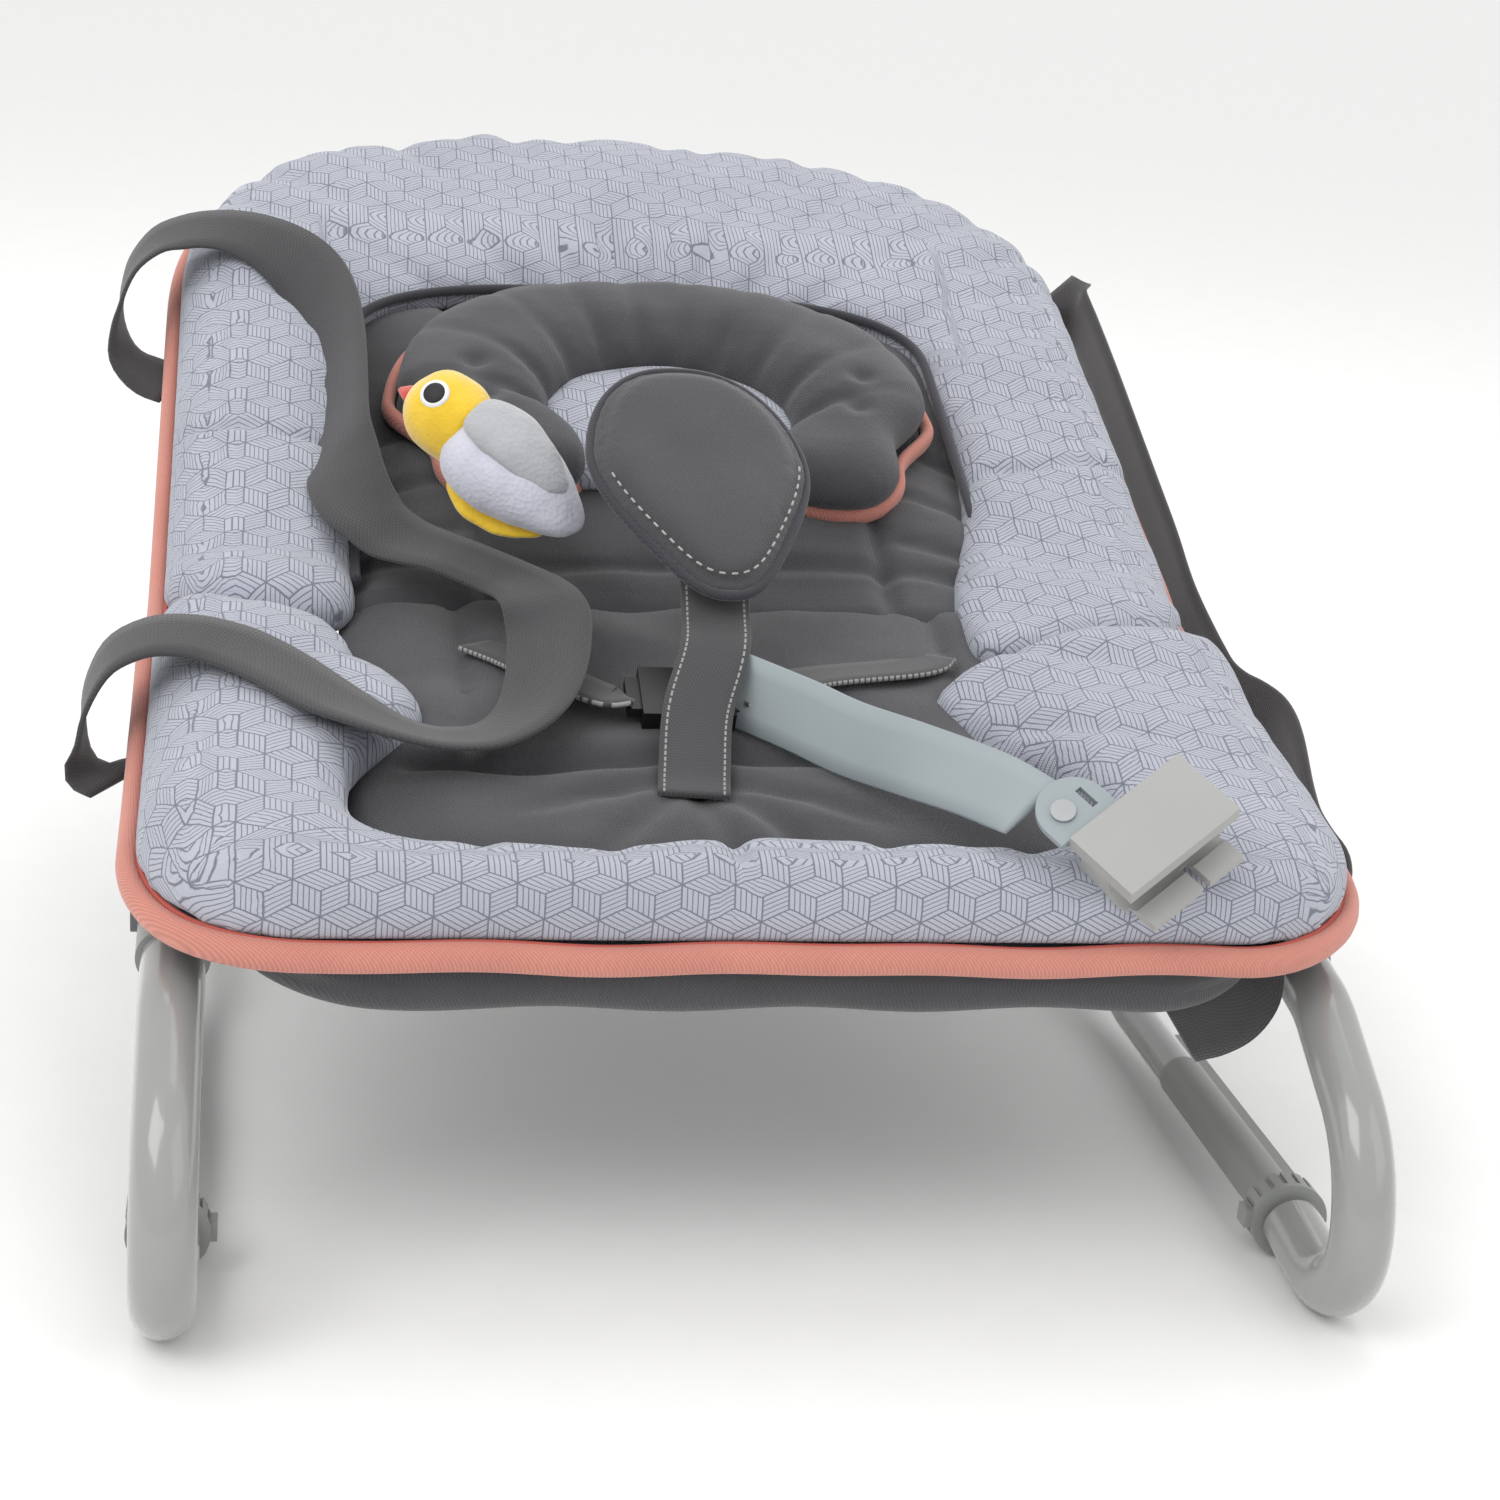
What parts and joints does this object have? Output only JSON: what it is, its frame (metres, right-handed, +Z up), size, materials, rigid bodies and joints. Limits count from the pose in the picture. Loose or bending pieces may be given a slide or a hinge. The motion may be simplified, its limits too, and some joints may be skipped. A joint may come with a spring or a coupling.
{
  "type": "bouncer seat",
  "caption": "Folding baby bouncer seat on a tube base: padded cover, head cushion, harness, toy bar, carry straps, reclining back, rocking stops.",
  "frame": {"origin": "on the floor, under the middle of the seat's width and length", "axes": "+Z up, +Y from the foot end to the head end, +X to the right seen from the foot end"},
  "size_m": [0.5613, 0.7508, 0.3988],
  "materials": {
    "painted_tube": "gloss powder coat",
    "grey_moulding": "satin moulded",
    "dark_moulding": "satin moulded",
    "foot_rubber": "matte",
    "zinc_steel": "zinc plated",
    "dark_cotton": "twill cotton, padded",
    "cube_print_cotton": "woven cotton with a line print of small cubes",
    "coral_binding": "bias binding",
    "dark_webbing": "woven webbing",
    "buckle_plastic": "moulded",
    "frosted_strip": "flexible moulded strip",
    "clip_plastic": "moulded",
    "lilac_plush": "short plush",
    "yellow_felt": "short plush",
    "bird_eye_thread": "embroidered"
  },
  "bodies": {
    "base": {"left_leg_tube": "painted_tube", "right_leg_tube": "painted_tube", "rear_base_tube": "painted_tube", "axle_bushes": "grey_moulding", "rear_feet": "foot_rubber", "left_leg_knuckle": "grey_moulding", "right_leg_knuckle": "grey_moulding", "fold_pins": "zinc_steel", "fold_springs": "zinc_steel"},
    "left_stop": {"left_stop_sleeve": "grey_moulding"},
    "right_stop": {"right_stop_sleeve": "grey_moulding"},
    "left_fold_lock": {"left_fold_button": "dark_moulding"},
    "right_fold_lock": {"right_fold_button": "dark_moulding"},
    "seat": {"seat_tube": "painted_tube", "left_seat_knuckle": "grey_moulding", "right_seat_knuckle": "grey_moulding", "left_seat_hip": "grey_moulding", "right_seat_hip": "grey_moulding", "hip_pins": "zinc_steel", "hip_screws": "zinc_steel", "front_sleeve": "dark_cotton", "seat_sling": "dark_cotton", "seat_piping": "coral_binding", "seat_cover": "cube_print_cotton", "seat_pad": "dark_cotton", "crotch_strap": "dark_webbing", "harness_shield": "dark_cotton", "buckle_body": "buckle_plastic", "left_waist_strap": "dark_webbing", "right_waist_strap": "dark_webbing", "left_carry_strap_lower": "dark_webbing", "right_carry_strap_lower": "dark_webbing"},
    "buckle_release": {"buckle_button": "buckle_plastic"},
    "back": {"back_tube": "painted_tube", "left_back_hip": "grey_moulding", "right_back_hip": "grey_moulding", "recline_springs": "zinc_steel", "back_sling": "dark_cotton", "back_piping": "coral_binding", "back_cover": "cube_print_cotton", "back_pad": "dark_cotton", "head_cushion": "dark_cotton", "head_panel": "cube_print_cotton", "head_trim": "coral_binding", "left_carry_strap_upper": "dark_webbing", "right_carry_strap_upper": "dark_webbing"},
    "left_recline_release": {"left_recline_button": "dark_moulding"},
    "right_recline_release": {"right_recline_button": "dark_moulding"},
    "toy_bar": {"toy_strip": "frosted_strip", "toy_plate": "frosted_strip", "toy_rivet": "zinc_steel", "toy_clip": "clip_plastic"},
    "toy_bird": {"bird_body": "lilac_plush", "bird_cap": "yellow_felt", "bird_eye": "bird_eye_thread", "bird_base": "yellow_felt"}
  },
  "joints": [
    {"name": "base_fold", "type": "hinge", "parent": "base", "child": "seat", "pos_m": [0, -0.23052, 0.12725], "axis": [1, 0, 0], "range_deg": [-24, 0]},
    {"name": "backrest_recline", "type": "hinge", "parent": "seat", "child": "back", "pos_m": [0, -0.01509, 0.17203], "axis": [1, 0, 0], "range_deg": [0, 14]},
    {"name": "left_rocking_stop", "type": "hinge", "parent": "base", "child": "left_stop", "pos_m": [-0.231, 0, 0.0172], "axis": [0, -1, 0], "range_deg": [0, 90]},
    {"name": "right_rocking_stop", "type": "hinge", "parent": "base", "child": "right_stop", "pos_m": [0.231, 0, 0.0172], "axis": [0, 1, 0], "range_deg": [0, 90]},
    {"name": "left_fold_push", "type": "slide", "parent": "base", "child": "left_fold_lock", "axis": [1, 0, 0], "range_m": [0, 0.0035], "stiffness_N_per_m": 600},
    {"name": "right_fold_push", "type": "slide", "parent": "base", "child": "right_fold_lock", "axis": [-1, 0, 0], "range_m": [0, 0.0035], "stiffness_N_per_m": 600},
    {"name": "left_recline_push", "type": "slide", "parent": "back", "child": "left_recline_release", "axis": [1, 0, 0], "range_m": [0, 0.0035], "stiffness_N_per_m": 600},
    {"name": "right_recline_push", "type": "slide", "parent": "back", "child": "right_recline_release", "axis": [-1, 0, 0], "range_m": [0, 0.0035], "stiffness_N_per_m": 600},
    {"name": "buckle_push", "type": "slide", "parent": "seat", "child": "buckle_release", "axis": [0, 0.4179, -0.9085], "range_m": [0, 0.0025], "stiffness_N_per_m": 600},
    {"name": "toy_bar_lift", "type": "slide", "parent": "seat", "child": "toy_bar", "axis": [0.7207, -0.1872, 0.6675], "range_m": [0, 0.25]},
    {"name": "toy_bird_lift", "type": "slide", "parent": "back", "child": "toy_bird", "axis": [-0.2501, -0.3783, 0.8913], "range_m": [0, 0.2]}
  ]
}
